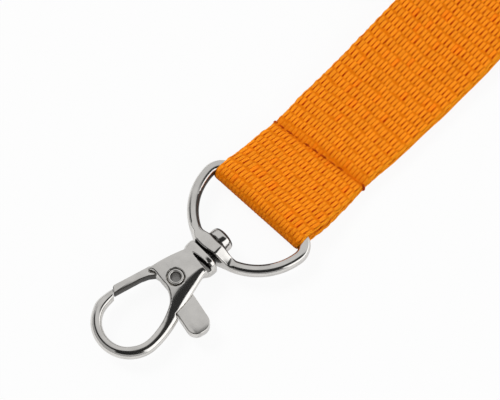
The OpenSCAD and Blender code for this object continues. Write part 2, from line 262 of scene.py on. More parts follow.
def edit(piece):
    choose(piece)
    bpy.ops.object.mode_set(mode="EDIT")
    return bmesh.from_edit_mesh(piece.data)


def pick(shell, wanted):
    """Selects in edit mode the vertices that pass a test, and the edges and faces between them."""
    for vert in shell.verts:
        vert.select = wanted(vert)
    shell.select_flush_mode()


def loft(name, rings, closed=False):
    """A skin pulled ring by ring: a circle is put on the first ring and extruded onto the rest."""
    bpy.ops.object.select_all(action="DESELECT")
    bpy.ops.mesh.primitive_circle_add(vertices=len(rings[0]), fill_type="NOTHING")
    piece = bpy.context.active_object
    piece.name = piece.data.name = name
    bpy.ops.object.mode_set(mode="EDIT")
    bpy.ops.mesh.select_mode(type="VERT")
    shell = bmesh.from_edit_mesh(piece.data)
    shell.verts.ensure_lookup_table()
    first = loop = list(range(len(rings[0])))
    for i, point in zip(loop, rings[0]):
        shell.verts[i].co = point
    bpy.ops.mesh.select_all(action="SELECT")
    for ring in rings[1:]:
        bpy.ops.mesh.extrude_region()
        shell = bmesh.from_edit_mesh(piece.data)
        shell.verts.index_update()
        shell.verts.ensure_lookup_table()
        moved = []
        for i, point in zip(loop, ring):
            ends = (edge.other_vert(shell.verts[i]) for edge in shell.verts[i].link_edges)
            new = next(vert for vert in ends if vert.select)
            new.co = point
            moved.append(new.index)
        loop = moved
    if closed:
        bpy.ops.mesh.select_all(action="SELECT")
        bpy.ops.mesh.remove_doubles(threshold=1e-7)
    else:
        for end in (first, loop):
            shell = bmesh.from_edit_mesh(piece.data)
            shell.verts.ensure_lookup_table()
            chosen = set(end)
            pick(shell, lambda vert: vert.index in chosen)
            bpy.ops.mesh.edge_face_add()
    bpy.ops.mesh.select_all(action="SELECT")
    bpy.ops.mesh.normals_make_consistent(inside=False)
    bpy.ops.object.mode_set(mode="OBJECT")
    return piece


def plate(name, outline, low, high, edge=0.0, segments=1):
    """A plate cut to an outline, with its rims broken by a bevel."""
    piece = loft(name, [[(x, y, low) for x, y in outline], [(x, y, high) for x, y in outline]])
    if edge:
        shell = edit(piece)
        bpy.ops.mesh.select_mode(type="EDGE")
        for rim in shell.edges:
            rim.select = abs(rim.verts[0].co.z - rim.verts[1].co.z) < 1e-9
        shell.select_flush_mode()
        bpy.ops.mesh.bevel(offset=edge, segments=segments, affect="EDGES", clamp_overlap=True)
        bpy.ops.mesh.select_mode(type="VERT")
        bpy.ops.object.mode_set(mode="OBJECT")
    return piece


def turned(name, profile, closed=False):
    """A turned piece about Z: its profile is a list of (radius, height)."""
    sides = 48
    rings = [[(x, y, height) for x, y in circle_of(radius, sides)] for radius, height in profile]
    return loft(name, rings + rings[:1] if closed else rings, closed=closed)


def apply(piece, kind, **settings):
    """Adds a modifier with its settings and applies it."""
    choose(piece)
    bpy.ops.object.modifier_add(type=kind)
    change = piece.modifiers[-1]
    for key, value in settings.items():
        setattr(change, key, value)
    bpy.ops.object.modifier_apply(modifier=change.name)


def combine(piece, tool, operation):
    """Adds a second shape to a piece or cuts it out, and removes that shape."""
    apply(piece, "BOOLEAN", object=tool, operation=operation, solver="EXACT")
    bpy.data.meshes.remove(tool.data)


def join(pieces, name):
    choose(*pieces)
    bpy.ops.object.join()
    pieces[0].name = pieces[0].data.name = name
    return pieces[0]


def settle(piece, finish, body, slot, *nodes, place=ON_RING, angle=35.0):
    """Puts a piece in place, with its shading, finish and body, for the nodes that it stands for."""
    piece.data.transform(place)
    choose(piece)
    bpy.ops.object.shade_smooth_by_angle(angle=math.radians(angle))
    piece.data.materials.clear()
    piece.data.materials.append(finish)
    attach(piece, body)
    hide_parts(*nodes)
    return piece


# Finishes

def add(tree, kind, inputs=(), **settings):
    """A new node, with its inputs set to values or linked to sockets."""
    made = tree.nodes.new(kind)
    for key, value in settings.items():
        setattr(made, key, value)
    for key, value in dict(inputs).items():
        if isinstance(value, bpy.types.NodeSocket):
            tree.links.new(value, made.inputs[key])
        else:
            made.inputs[key].default_value = value
    return made


def calc(tree, operation, first, second=0.0):
    return add(tree, "ShaderNodeMath", {0: first, 1: second}, operation=operation).outputs[0]


def times(tree, first, *others):
    """The product of sockets and numbers."""
    for other in others:
        first = calc(tree, "MULTIPLY", first, other)
    return first


def ramp(tree, value, low, high, start=0.0, end=1.0):
    """A smooth change from start to end while a value goes from low to high."""
    return add(tree, "ShaderNodeMapRange",
               {0: value, 1: low, 2: high, 3: start, 4: end},
               interpolation_type="SMOOTHSTEP").outputs[0]


def blend(tree, share, first, second, mode="MIX"):
    made = add(tree, "ShaderNodeMix", {0: share, 6: first, 7: second},
               data_type="RGBA", blend_type=mode)
    return made.outputs[2]


def grey(tree, level):
    return add(tree, "ShaderNodeCombineColor", {0: level, 1: level, 2: level}).outputs[0]


def noise_of(tree, place, scale, detail, roughness=0.5):
    return add(tree, "ShaderNodeTexNoise", {"Vector": place, "Scale": scale, "Detail": detail,
                                            "Roughness": roughness}).outputs[0]


def mark_of(tree, name):
    """The value that a piece's mesh carries under a name."""
    return add(tree, "ShaderNodeAttribute", attribute_name=name).outputs["Fac"]


def object_place(tree):
    return add(tree, "ShaderNodeTexCoord").outputs["Object"]


def roughen(tree, shader, height, strength, distance):
    """Gives a finish its fine relief."""
    bump = add(tree, "ShaderNodeBump", {"Strength": strength, "Distance": distance, "Height": height})
    tree.links.new(bump.outputs[0], shader.inputs["Normal"])


def darker(colour, share):
    return tuple(share * channel for channel in colour[:3]) + (1.0,)


def finish_named(name):
    made = bpy.data.materials.new(name)
    made.use_nodes = True
    tree = made.node_tree
    return made, tree, tree.nodes["Principled BSDF"]


def new_group(name, inputs, outputs):
    group = bpy.data.node_groups.new(name, "ShaderNodeTree")
    for socket in inputs:
        group.interface.new_socket(socket, in_out="INPUT", socket_type="NodeSocketFloat")
    for socket in outputs:
        group.interface.new_socket(socket, in_out="OUTPUT", socket_type="NodeSocketFloat")
    return group, group.nodes.new("NodeGroupInput"), group.nodes.new("NodeGroupOutput")


def weave_group():
    """Yarn floats in rows, each row half a yarn to the side of the last one."""
    group, given, made = new_group("Yarn floats", ("Across", "Along"), ("Gap", "Dip", "Crown", "Tone"))
    along = given.outputs["Along"]
    row = calc(group, "FLOOR", along)
    odd = calc(group, "MODULO", row, 2.0)
    across = calc(group, "ADD", given.outputs["Across"], times(group, odd, 0.5))
    cell = add(group, "ShaderNodeCombineXYZ", {0: calc(group, "FLOOR", across), 1: row}).outputs[0]
    chance = add(group, "ShaderNodeTexWhiteNoise", {"Vector": cell}, noise_dimensions="2D")
    shift = add(group, "ShaderNodeSeparateColor", {0: chance.outputs["Color"]}).outputs
    # The middle of each float lies a little off the middle of its cell
    middle = calc(group, "ADD", times(group, shift[0], 0.16), 0.42)
    side = calc(group, "ABSOLUTE", calc(group, "SUBTRACT", calc(group, "FRACT", across), middle))
    half_way = calc(group, "ADD", times(group, shift[1], 0.24), 0.38)
    on = calc(group, "SUBTRACT", calc(group, "FRACT", along), half_way)
    end = calc(group, "ABSOLUTE", on)
    reach = calc(group, "ADD", side, times(group, end, end, 0.35))
    # The gap between two floats is dark, darkest past their middle where a painted shadow is added, and not
    # equally dark everywhere
    slit_and_shadow = times(group, ramp(group, reach, 0.30, 0.45), ramp(group, end, 0.30, 0.50, 1.0, 0.0),
                 ramp(group, on, -0.45, 0.2, 0.5, 1.0), ramp(group, shift[2], 0.0, 0.7, 0.7, 1.0))
    crown = times(group, ramp(group, reach, 0.15, 0.5, 1.0, 0.0), ramp(group, end, 0.25, 0.55, 1.0, 0.3))
    group.links.new(slit_and_shadow, made.inputs["Gap"])
    group.links.new(ramp(group, end, 0.30, 0.52), made.inputs["Dip"])
    group.links.new(crown, made.inputs["Crown"])
    group.links.new(chance.outputs["Value"], made.inputs["Tone"])
    return group


def webbing_cloth(cloth):
    """Woven yarn with dark slits, pale edges partly painted light, and painted shade beside the seam, in its
    furrow and where it is bent round the ring.
    """
    made, tree, shader = finish_named("Orange webbing")
    uv = add(tree, "ShaderNodeUVMap", uv_map="weave").outputs[0]
    split = add(tree, "ShaderNodeSeparateXYZ", {0: uv}).outputs
    weave = add(tree, "ShaderNodeGroup", node_tree=weave_group())
    tree.links.new(split[0], weave.inputs["Across"])
    tree.links.new(split[1], weave.inputs["Along"])
    floats = weave.outputs
    strands = add(tree, "ShaderNodeMapping", {0: uv, 3: (7.0, 0.9, 1.0)}).outputs[0]
    fibre = noise_of(tree, strands, 1.0, 3.0, 0.6)
    patch = noise_of(tree, uv, 0.35, 2.0)
    seam_and_fold_shade = mark_of(tree, "seam_and_fold_shade")
    yarn = blend(tree, times(tree, floats["Dip"], 0.75), tuple(cloth.yarn), tuple(cloth.deep))
    closed = ramp(tree, seam_and_fold_shade, 0.0, 1.0, 1.0, 0.65)
    colour = blend(tree, times(tree, floats["Gap"], closed), yarn, tuple(cloth.gap))
    # A few floats are redder, and fibres and patches differ in brightness
    redder = ramp(tree, floats["Tone"], 0.90, 1.0)
    colour = blend(tree, 1.0, colour, blend(tree, redder, (1, 1, 1, 1), (1.0, 0.84, 0.7, 1)), "MULTIPLY")
    streak = calc(tree, "ADD", fibre, times(tree, floats["Tone"], 0.3))
    shade = times(tree, ramp(tree, streak, 0.35, 0.95, 0.92, 1.06), ramp(tree, patch, 0.3, 0.7, 0.97, 1.03))
    colour = blend(tree, 1.0, colour, grey(tree, shade), "MULTIPLY")
    # Paler edge colour, partly painted light on the side edges; painted shade beside the seam and on the fold
    # round the bar; painted shade in the seam's furrow
    for mark, share, tint in ((mark_of(tree, "edge"), 0.5, cloth.selvedge_and_painted_light), (seam_and_fold_shade, 0.7, cloth.deep),
                              (mark_of(tree, "furrow"), 0.4, cloth.thread)):
        colour = blend(tree, times(tree, mark, share), colour, tuple(tint))
    tree.links.new(colour, shader.inputs["Base Color"])
    tree.links.new(ramp(tree, fibre, 0.3, 0.7, 0.65, 0.85), shader.inputs["Roughness"])
    # Where the mesh has no woven relief, the bump stands for all of it
    finer = ramp(tree, mark_of(tree, "flat"), 0.0, 1.0, 0.45, 1.0)
    height = calc(tree, "ADD", times(tree, floats["Crown"], finer), times(tree, fibre, 0.3))
    roughen(tree, shader, height, 0.6, 0.00017)
    shader.inputs["Specular IOR Level"].default_value = 0.05
    return made


def sewing_thread(cloth):
    """Twisted thread, faded here and there to the webbing's colour."""
    made, tree, shader = finish_named("Sewing thread")
    place = object_place(tree)
    ply = add(tree, "ShaderNodeTexWave", {"Vector": place, "Scale": 700.0, "Distortion": 1.5},
              bands_direction="DIAGONAL").outputs["Fac"]
    twist = blend(tree, ply, darker(cloth.thread, 0.7), tuple(cloth.thread))
    faded = ramp(tree, noise_of(tree, place, 420.0, 1.0), 0.50, 0.66)
    tree.links.new(blend(tree, faded, twist, tuple(cloth.deep)), shader.inputs["Base Color"])
    tree.links.new(ramp(tree, ply, 0.0, 1.0, 0.8, 0.6), shader.inputs["Roughness"])
    shader.inputs["Specular IOR Level"].default_value = 0.12
    roughen(tree, shader, ply, 0.5, 0.00008)
    return made


def handling_group():
    """Fine scratches and soft cloudiness of handled metal."""
    name = "Handling marks"
    if name in bpy.data.node_groups:
        return bpy.data.node_groups[name]
    group, given, made = new_group(name, ("Fineness",), ("Cloud", "Scratch"))
    place = object_place(group)
    cloud = noise_of(group, place, given.outputs["Fineness"], 4.0)
    long = add(group, "ShaderNodeMapping",
               {0: place, 2: (0.0, 0.0, 0.6), 3: (220.0, 5200.0, 5200.0)}).outputs[0]
    lines = noise_of(group, long, 1.0, 2.0)
    group.links.new(cloud, made.inputs["Cloud"])
    group.links.new(ramp(group, lines, 0.62, 0.8), made.inputs["Scratch"])
    return group


def bright_metal(name, colour, roughness, shaded):
    """Bright metal with handling marks, darker and rougher where a piece carries the mark of painted shade
    and painted dark reflections.
    """
    if name in bpy.data.materials:
        return bpy.data.materials[name]
    made, tree, shader = finish_named(name)
    marks = add(tree, "ShaderNodeGroup", {"Fineness": 420.0}, node_tree=handling_group())
    cloud, scratch = marks.outputs["Cloud"], marks.outputs["Scratch"]
    # Painted shade and painted dark reflections, darker and rougher than the plating
    painted_shade = mark_of(tree, "painted_shade")
    plating = blend(tree, ramp(tree, cloud, 0.35, 0.7), tuple(colour), darker(colour, 0.90))
    tree.links.new(blend(tree, painted_shade, plating, tuple(shaded)), shader.inputs["Base Color"])
    clouded = ramp(tree, cloud, 0.3, 0.75, 0.8 * roughness, 1.25 * roughness)
    scratched = calc(tree, "ADD", clouded, times(tree, scratch, 0.06))
    tree.links.new(calc(tree, "ADD", scratched, times(tree, painted_shade, 0.3)), shader.inputs["Roughness"])
    roughen(tree, shader, cloud, 0.05, 0.00003)
    shader.inputs["Metallic"].default_value = 1.0
    return made


def nickel(scene):
    metal = scene.lanyard_metal
    return bright_metal("Bright nickel", metal.nickel, metal.roughness, metal.shaded)


def paint_shade(piece, test, domain="FACE"):
    """Marks where shade and dark reflections are painted on the metal, by a test of place in millimetres and
    normal.
    """
    marks = piece.data.attributes.new("painted_shade", "FLOAT", domain)
    if domain == "FACE":
        values = [test(face.center / MM, face.normal) for face in piece.data.polygons]
    else:
        values = [test(point.co / MM, point.normal) for point in piece.data.vertices]
    marks.data.foreach_set("value", [float(value) for value in values])


def band_rubber():
    """Black rubber with a fine grain and a faint grey bloom."""
    made, tree, shader = finish_named("Tie band rubber")
    black, bloomed = (0.016, 0.016, 0.017, 1), (0.035, 0.034, 0.033, 1)
    place = object_place(tree)
    grain = noise_of(tree, place, 2600.0, 3.0)
    bloom = ramp(tree, noise_of(tree, place, 160.0, 3.0), 0.35, 0.75)
    tree.links.new(blend(tree, bloom, black, bloomed), shader.inputs["Base Color"])
    tree.links.new(ramp(tree, grain, 0.3, 0.7, 0.55, 0.75), shader.inputs["Roughness"])
    roughen(tree, shader, grain, 0.25, 0.00006)
    return made


# Webbing, its seam and its tie

class Route:
    """The strip's way, in millimetres, as its solids run: out to the ring, back, and into the hank."""

    # The loop round the ring's bar
    seam_to_bar, slack, loop_r, bar_z = 12.8, 0.6, 1.6, 2.7
    # Height of the lower layer, distance of the two layers, and their rise towards the hank
    under, pitch, rise = 0.55, 1.55, 0.9
    rise_from, level_from = 18.0, 60.0
    # The hank's two ends, radius of its tight folds, and number of its doubled runs
    near, far, fold, runs = 68.0, 162.0, 1.05, 4
    # Where the mesh is fine in front and behind, and its steps along the way
    fine_to, back_to = 50.0, 6.0
    fine, back_step, coarse, hank_step, fold_step, neck_step = 0.3, 0.6, 2.0, 7.0, 0.5, 0.25

    def flat_z(self, x, layer):
        """Height of a layer between the seam and the hank."""
        lift = self.rise * ease((x - self.rise_from) / (self.level_from - self.rise_from))
        return self.under + layer * self.pitch + lift

    def leg_z(self, x, layer):
        """Height of a layer, also between the seam and the bar, where the layers part."""
        level = self.flat_z(x, layer)
        beside_bar = self.bar_z + (2 * layer - 1) * self.loop_r
        return level + (beside_bar - level) * ease(-x / self.seam_to_bar)

    def run_z(self, k, layer):
        """Height of a layer in one of the hank's runs."""
        tight = math.ceil(k / 2) if layer == 1 else k // 2
        return (self.flat_z(self.level_from, layer)
                + 2 * (tight * self.fold + (k - tight) * (self.fold + self.pitch)))

    def half_turn(self, x, z, r, side, step):
        """Half a circle, from its lowest point to its highest."""
        count = max(8, math.ceil(math.pi * r / step))
        angles = [math.pi * (i / count - 0.5) for i in range(count + 1)]
        return [(x + side * r * math.cos(a), z + r * math.sin(a)) for a in angles]

    def straight(self, start, end, step):
        """Points on a straight line, without its end."""
        count = max(1, math.ceil(math.dist(start, end) / step))
        return [(start[0] + (end[0] - start[0]) * i / count, start[1] + (end[1] - start[1]) * i / count)
                for i in range(count)]

    def leg(self, start, end, layer, step):
        """Points on a layer between two places along it, without the last."""
        count = max(1, math.ceil(abs(end - start) / step))
        return [(x, self.leg_z(x, layer)) for x in (start + (end - start) * i / count for i in range(count))]

    def folds(self, layer):
        """The half turns between one layer's runs."""
        ways = []
        for k in range(self.runs - 1):
            low, high = self.run_z(k, layer), self.run_z(k + 1, layer)
            side = 1 if k % 2 == 0 else -1
            ways.append(self.half_turn(self.far if side > 0 else self.near, (low + high) / 2,
                                       (high - low) / 2, side, self.fold_step))
        return ways

    def points(self):
        """(x, z) all the way round: on the upper layer to the ring, back below it, and through the hank."""
        bar_x = -self.seam_to_bar - self.slack
        way = self.leg(self.level_from, self.fine_to, 1, self.coarse)
        way += self.leg(self.fine_to, -self.seam_to_bar, 1, self.fine)
        top = self.half_turn(bar_x, self.bar_z, self.loop_r, -1, self.fine)[::-1]
        way += self.straight((-self.seam_to_bar, top[0][1]), top[0], self.fine) + top
        way += self.straight(top[-1], (-self.seam_to_bar, top[-1][1]), self.fine)[1:]
        way += self.leg(-self.seam_to_bar, self.back_to, 0, self.back_step)
        way += self.leg(self.back_to, self.level_from, 0, self.coarse)
        hank = [(self.level_from, self.run_z(0, 0))]
        middle = (self.run_z(self.runs - 1, 0) + self.run_z(self.runs - 1, 1)) / 2
        neck = self.half_turn(self.near, middle, self.pitch / 2, -1, self.neck_step)[::-1]
        turns = self.folds(0) + [neck] + [turn[::-1] for turn in self.folds(1)[::-1]]
        for turn in turns:
            hank = hank + self.straight(hank[-1], turn[0], self.hank_step)[1:] + turn
        return way + hank + self.straight(hank[-1], (self.level_from, self.run_z(0, 1)), self.coarse)[1:]


ROUTE = Route()
# The seam's slant, its reach to either side of the middle, and its stitches
SEAM_DEGREES = 5.5
SEAM_SKEW = math.tan(math.radians(SEAM_DEGREES))
SEAM_REACH, STITCHES = 9.5, 10
STITCH = 2 * SEAM_REACH / STITCHES


def past_seam(x, y):
    """Distance of a place from the slanted seam, towards the hank."""
    return x + y * SEAM_SKEW


def seam_pinch(x, y):
    """How hard the seam pulls the layers together at a place, 0 to 1."""
    return bell(past_seam(x, y), 0.85)


def edge_lift(x, y):
    """Share of the twist above the seam: the far edge stands off the table, and lies down again."""
    return smooth_step(12.0, 34.0, x) * smooth_step(62.0, 46.0, x) * ((y + 10.0) / 20.0) ** 1.3


def sideways(x, y):
    """Where a thread of the strip lies across it: the sewn end is drawn in and leans a little."""
    width = 0.985 - 0.03 * bell(x - 1.0, 5.0) + 0.015 * smooth_step(5.0, 22.0, x)
    lean = 0.38 - 0.13 * bell(x - 4.0, 5.0)
    return y * width - lean * smooth_step(44.0, 26.0, x) * smooth_step(-13.5, -8.5, x)


def float_height(across, along):
    """Height of the weave, 0 in a gap to 1 on a yarn: the floats that the cloth's shader draws, all alike."""
    row = math.floor(along)
    shifted = across + 0.5 * (row % 2)
    end = abs(along - row - 0.5)
    reach = abs(shifted - math.floor(shifted) - 0.5) + 0.35 * end * end
    return smooth_step(0.5, 0.15, reach) * (1 - 0.7 * smooth_step(0.25, 0.55, end))


class Strip:
    """The strip's section and its woven surface, in millimetres."""

    # Columns of the woven face and of the inner one, and depth and steps of the round edges
    columns, inner_columns, cheek, cheek_steps = 128, 24, 0.7, 6
    # Where the woven relief begins to fade towards the hank
    relief_to = 44.0

    def __init__(self, cloth):
        self.half, self.thick = cloth.width / MM / 2, cloth.thickness / MM
        self.yarn, self.row = cloth.yarn_pitch / MM, cloth.row_pitch / MM
        self.relief, self.lift = cloth.relief / MM, cloth.edge_lift / MM
        self.face = self.half - self.cheek
        self.section = self.outline()
        self.girth = [0.0]
        for (y, d), (next_y, next_d) in zip(self.section, self.section[1:] + self.section[:1]):
            self.girth.append(self.girth[-1] + math.hypot(next_y - y, (next_d - d) * self.thick / 2))
        self.yarns = round(self.girth[-1] / self.yarn)

    def outline(self):
        """The section's points: place across, and depth from 1 on the woven face to -1 on the inner one."""
        face = self.face
        woven = [(-face + 2 * face * j / self.columns, 1.0) for j in range(self.columns + 1)]
        angles = [math.pi * k / self.cheek_steps for k in range(1, self.cheek_steps)]
        side = [(face + self.cheek * math.sin(a), math.cos(a)) for a in angles]
        inner = [(face - 2 * face * j / self.inner_columns, -1.0) for j in range(self.inner_columns + 1)]
        return woven + side + inner + [(-y, depth) for y, depth in side[::-1]]

    def weave_at(self, j, x, y, run):
        """Yarn and row at a point of the section. Both wander a little, as in real cloth."""
        first_yarn, lean, yarn_wander, row_wander = 60.0, 0.06, 0.35, 0.45
        drift = Vector((run * 0.045, y * 0.12, 2.7))
        other_drift = drift + Vector((0, 0, 9.1))
        u = self.yarns * self.girth[j] / self.girth[-1] + lean * min(0.0, x) / self.yarn + first_yarn
        v = run / self.row + row_wander * noise.noise(other_drift)
        return u + yarn_wander * noise.noise(drift), v

    def woven_share(self, x, behind):
        """Share of the relief: full in front, shallow round the bar, none behind and towards the hank."""
        if behind and x > -13.0:
            return smooth_step(-9.0, -12.5, x)
        return smooth_step(ROUTE.fine_to, self.relief_to, x) * (1 - 0.75 * smooth_step(-13.4, -14.6, x))

    def relief_at(self, x, y, u, v, woven, in_front):
        """How far the woven face stands out: the yarns, the seam's furrow and the low ridge beside it."""
        furrow, ridge, ridge_at, ridge_width = 0.22, 0.10, 1.9, 0.7
        pull = seam_pinch(x, y)
        inside = smooth_step(self.face, self.face - 0.8, abs(y))
        height = self.relief * woven * (1 - 0.7 * pull) * inside * (float_height(u, v) - 0.75)
        if in_front:
            height -= furrow * pull * (0.7 + 0.3 * math.cos(2 * math.pi * y / STITCH))
            height += ridge * bell(past_seam(x, y) - ridge_at, ridge_width)
        return height

    def rise_at(self, x, y, in_front, behind):
        """The layers meet at the seam, the edges droop beside the ring, and one edge lifts further out."""
        upper_dip, lower_rise, droop = 0.30, 0.14, 0.55
        rise = self.lift * edge_lift(x, y)
        pull = seam_pinch(x, y)
        if in_front:
            rise -= upper_dip * pull + droop * smooth_step(7.0, 10.0, abs(y)) * smooth_step(-2.0, -11.0, x)
        elif behind:
            rise += lower_rise * pull
        return rise

    def scallop(self, y, v, run):
        """How far an edge swells where a row ends on it, and wanders along the strip."""
        swell, wander = 0.14, 0.16
        wave = swell * (abs(math.sin(math.pi * v)) - 0.6) * smooth_step(self.face - 0.5, self.half, abs(y))
        drift = noise.noise((run * 0.28, math.copysign(7.0, y), 5.5))
        return wave + wander * drift * smooth_step(6.0, self.half, abs(y))

    def marks_at(self, x, y, woven, in_front):
        """Values for the finish: pale edges, partly painted light; painted shade beside the seam, on the fold
        round the bar and in the furrow; and where there is no relief.
        """
        # The edge mark lays the paler colour of the two edges, partly painted light on the side edges
        off = past_seam(x, y)
        # Painted shade on the slope beside the seam, and on the fold round the bar
        seam_and_fold_shade = 0.6 * bell(off - 0.35, 1.0) if in_front else 0.0
        bent = 0.75 * smooth_step(-13.4, -15.2, x)
        # The furrow mark is painted shade in the seam's furrow
        return {"edge": smooth_step(self.half - 0.4, self.half - 0.1, abs(y)), "seam_and_fold_shade": max(seam_and_fold_shade, bent),
                "furrow": bell(off + 0.1, 0.3) if in_front else 0.0, "flat": 1.0 - woven}


class LANYARD_OT_webbing(bpy.types.Operator):
    """Weaves the folded strip of webbing"""

    bl_idname = "lanyard.webbing"
    bl_label = "Webbing"

    def execute(self, context):
        cloth = context.scene.lanyard_webbing
        strip = Strip(cloth)
        way = ROUTE.points()
        # Rows lie closer together where the strip bends round the bar
        hank_from, bend_to, bend_rows = 61.0, -13.5, 1.34
        places, weave, marks = [], [], []
        run = 0.0
        for i, (x, z) in enumerate(way):
            before, after = way[i - 1], way[(i + 1) % len(way)]
            tangent = Vector((after[0] - before[0], after[1] - before[1])).normalized()
            normal = Vector((tangent.y, -tangent.x))
            if i:
                run += math.dist(before, (x, z)) * (bend_rows if x < bend_to else 1.0)
            in_front = normal.y > 0 and x < hank_from
            behind = normal.y < 0 and x < hank_from
            woven = strip.woven_share(x, behind)
            for j, (y, depth) in enumerate(strip.section):
                u, v = strip.weave_at(j, x, y, run)
                out = strip.thick / 2 * depth
                if depth == 1.0:
                    out += strip.relief_at(x, y, u, v, woven, in_front)
                beam = sideways(x, y) + math.copysign(strip.scallop(y, v, run), y)
                height = z + normal.y * out + strip.rise_at(x, y, in_front, behind)
                places.append(Vector((x + normal.x * out, beam, height)) * MM)
                weave.append((u, v))
                marks.append(strip.marks_at(x, y, woven, in_front))
        last_v = (run + math.dist(way[-1], way[0])) / strip.row
        piece = self.woven_piece(context, places, len(way), len(strip.section))
        self.lay_weave(piece.data, weave, strip.yarns, last_v, len(way), len(strip.section))
        for name in marks[0]:
            values = [mark[name] for mark in marks]
            piece.data.attributes.new(name, "FLOAT", "POINT").data.foreach_set("value", values)
        settle(piece, webbing_cloth(cloth), "strap", "webbing",
               "strap_loop", "strap_run", "strap_hank", place=Matrix(), angle=180.0)
        return {"FINISHED"}

    def woven_piece(self, context, places, rows, many):
        """The closed skin of rows of points, each row one section of the strip."""
        faces = [(i * many + j, i * many + (j + 1) % many,
                  (i + 1) % rows * many + (j + 1) % many, (i + 1) % rows * many + j)
                 for i in range(rows) for j in range(many)]
        mesh = bpy.data.meshes.new("webbing")
        mesh.from_pydata(places, [], faces)
        piece = bpy.data.objects.new("webbing", mesh)
        context.scene.collection.objects.link(piece)
        edit(piece)
        bpy.ops.mesh.select_all(action="SELECT")
        bpy.ops.mesh.normals_make_consistent(inside=False)
        bpy.ops.object.mode_set(mode="OBJECT")
        return piece

    def lay_weave(self, mesh, weave, yarns, last_v, rows, many):
        """Gives every face its yarns and rows, also where the section and the way close on themselves."""
        uv = mesh.uv_layers.new(name="weave")
        for polygon in mesh.polygons:
            closes_way = polygon.index >= (rows - 1) * many
            closes_section = polygon.index % many == many - 1
            for corner in polygon.loop_indices:
                index = mesh.loops[corner].vertex_index
                u, v = weave[index]
                if closes_section and index % many == 0:
                    u += yarns
                uv.data[corner].uv = (u, last_v if closes_way and index < many else v)


class LANYARD_OT_ring_seam(bpy.types.Operator):
    """Sews the row of lock stitches across both layers"""

    bl_idname = "lanyard.ring_seam"
    bl_label = "Ring seam"

    def execute(self, context):
        # Heights of the thread on the two faces, and degrees that the stitches lean to either side
        upper, lower, lean = 2.18, 0.42, 4.0
        pieces = []
        for level, up in ((upper, 1), (lower, -1)):
            stitch = self.stitch(level, up)
            for i in range(STITCHES):
                y = -SEAM_REACH + (i + 0.5) * STITCH
                copy = stitch.copy()
                copy.data = stitch.data.copy()
                context.scene.collection.objects.link(copy)
                turn = Matrix.Rotation(math.radians(SEAM_DEGREES + lean * (-1) ** i), 4, "Z")
                place = Vector((-y * SEAM_SKEW, sideways(0, y), 0)) * MM
                copy.data.transform(Matrix.Translation(place) @ turn)
                pieces.append(copy)
            bpy.data.meshes.remove(stitch.data)
        pieces += [self.tail(8.95, 1.0), self.tail(-9.5, -1.0)]
        thread = sewing_thread(context.scene.lanyard_webbing)
        settle(join(pieces, "seam_thread"), thread, "strap", "thread", "ring_seam",
               place=Matrix(), angle=180.0)
        return {"FINISHED"}

    def stitch(self, level, up):
        """One stitch: a bowed thread whose ends dip into the webbing."""
        thread, flat, bow, dip, parts = 0.17, 1.25, 0.42, 0.40, 14
        shares = [k / parts for k in range(parts + 1)]
        path = [(STITCH * (share - 0.5), level + up * (bow * math.sin(math.pi * share) - dip))
                for share in shares]
        rings = []
        for k, (y, z) in enumerate(path):
            ahead, behind = path[min(k + 1, parts)], path[max(k - 1, 0)]
            tangent = Vector((0, ahead[0] - behind[0], ahead[1] - behind[1])).normalized()
            ring = wire_ring(Vector((0, y, z)), tangent.cross(AXIS_X), thread, 10, flat)
            rings.append([point * MM for point in ring])
        return loft("stitch", rings)

    def tail(self, y, side):
        """The thread's end where it turns round the webbing's edge."""
        thread, out, middle, half_height, drift, parts = 0.2, 0.55, 1.3, 0.95, 0.12, 16
        rings = []
        for k in range(parts + 1):
            a = math.pi * k / parts
            spot = Vector((-y * SEAM_SKEW + drift * side * k / parts, y + side * out * math.sin(a),
                           middle + half_height * math.cos(a)))
            tangent = Vector((0, side * math.cos(a), -math.sin(a)))
            rings.append([point * MM for point in wire_ring(spot, tangent.cross(AXIS_X), thread, 10)])
        return loft("tail", rings)


